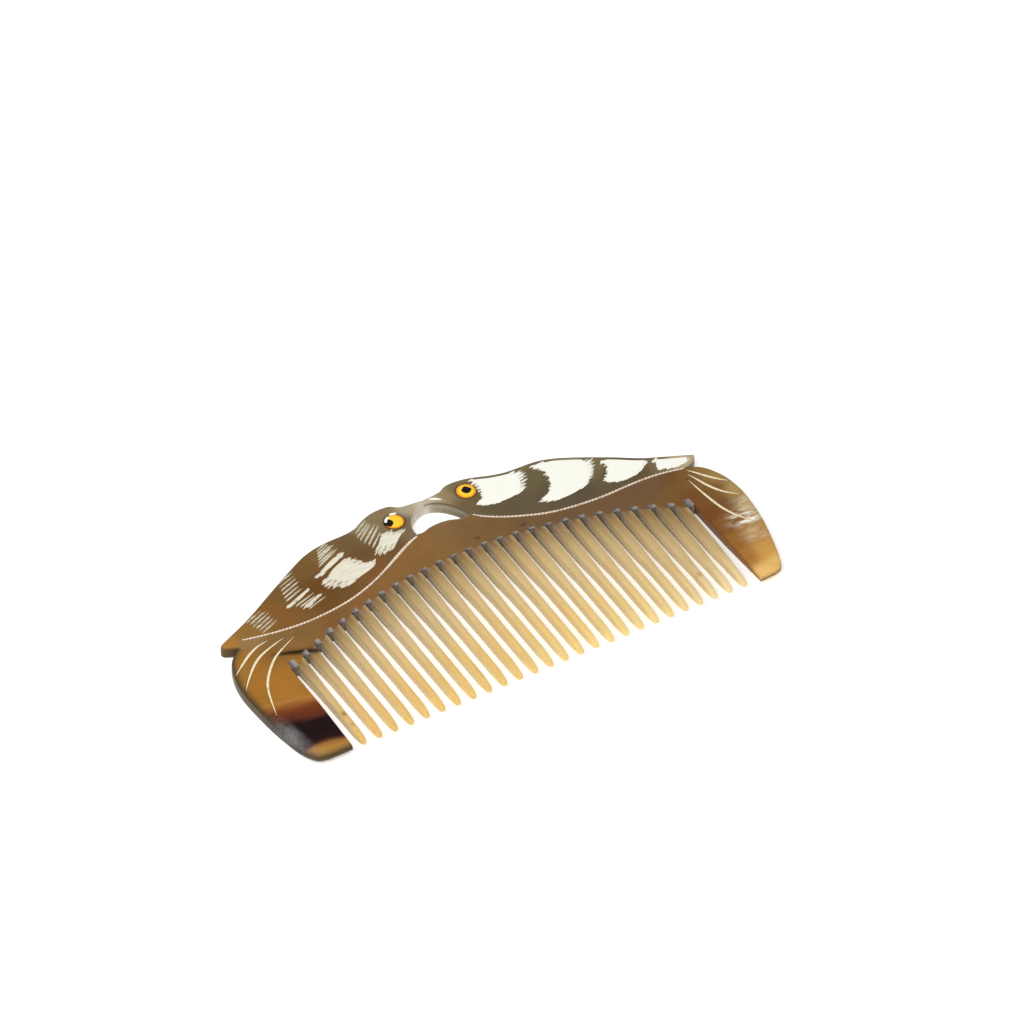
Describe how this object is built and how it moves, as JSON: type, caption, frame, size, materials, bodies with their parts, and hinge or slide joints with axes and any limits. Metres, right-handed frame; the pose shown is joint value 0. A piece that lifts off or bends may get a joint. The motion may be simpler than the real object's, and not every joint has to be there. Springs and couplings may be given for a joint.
{
  "type": "decorative hair comb",
  "caption": "One-plate horn hair comb with straight sawn teeth between two guards; two carved, painted birds meet beak to beak over a pierced hole along its back.",
  "frame": {"origin": "middle of the comb's length and height, on its flat back face", "axes": "+X along the comb towards the solid-patched bird, +Y from the tooth points to the birds' backs, +Z out of the decorated face"},
  "size_m": [0.1422, 0.0684, 0.0035],
  "materials": {
    "horn": "polished natural horn, olive brown to honey, stood in for by a glossy solid",
    "line_filling": "cream-pink filling rubbed into engraved lines",
    "feather_paint": "off-white brushed paint in scraped patches",
    "iris_paint": "yellow to orange enamel",
    "pupil_paint": "black enamel"
  },
  "bodies": {
    "root": {"web": "horn", "left_bird": "horn", "right_bird": "horn", "left_guard": "horn", "right_guard": "horn", "tooth_01": "horn", "tooth_02": "horn", "tooth_03": "horn", "tooth_04": "horn", "tooth_05": "horn", "tooth_06": "horn", "tooth_07": "horn", "tooth_08": "horn", "tooth_09": "horn", "tooth_10": "horn", "tooth_11": "horn", "tooth_12": "horn", "tooth_13": "horn", "tooth_14": "horn", "tooth_15": "horn", "tooth_16": "horn", "tooth_17": "horn", "tooth_18": "horn", "tooth_19": "horn", "tooth_20": "horn", "tooth_21": "horn", "tooth_22": "horn", "tooth_23": "horn", "tooth_24": "horn", "tooth_25": "horn", "tooth_26": "horn", "left_belly_line": "line_filling", "right_belly_line": "line_filling", "left_plume_lines": "line_filling", "right_plume_lines": "line_filling", "left_feather_paint": "feather_paint", "right_feather_paint": "feather_paint", "beak_gap_paint": "feather_paint", "left_eye_glint": "feather_paint", "left_iris": "iris_paint", "right_iris": "iris_paint", "left_pupil": "pupil_paint", "right_pupil": "pupil_paint"}
  },
  "joints": []
}
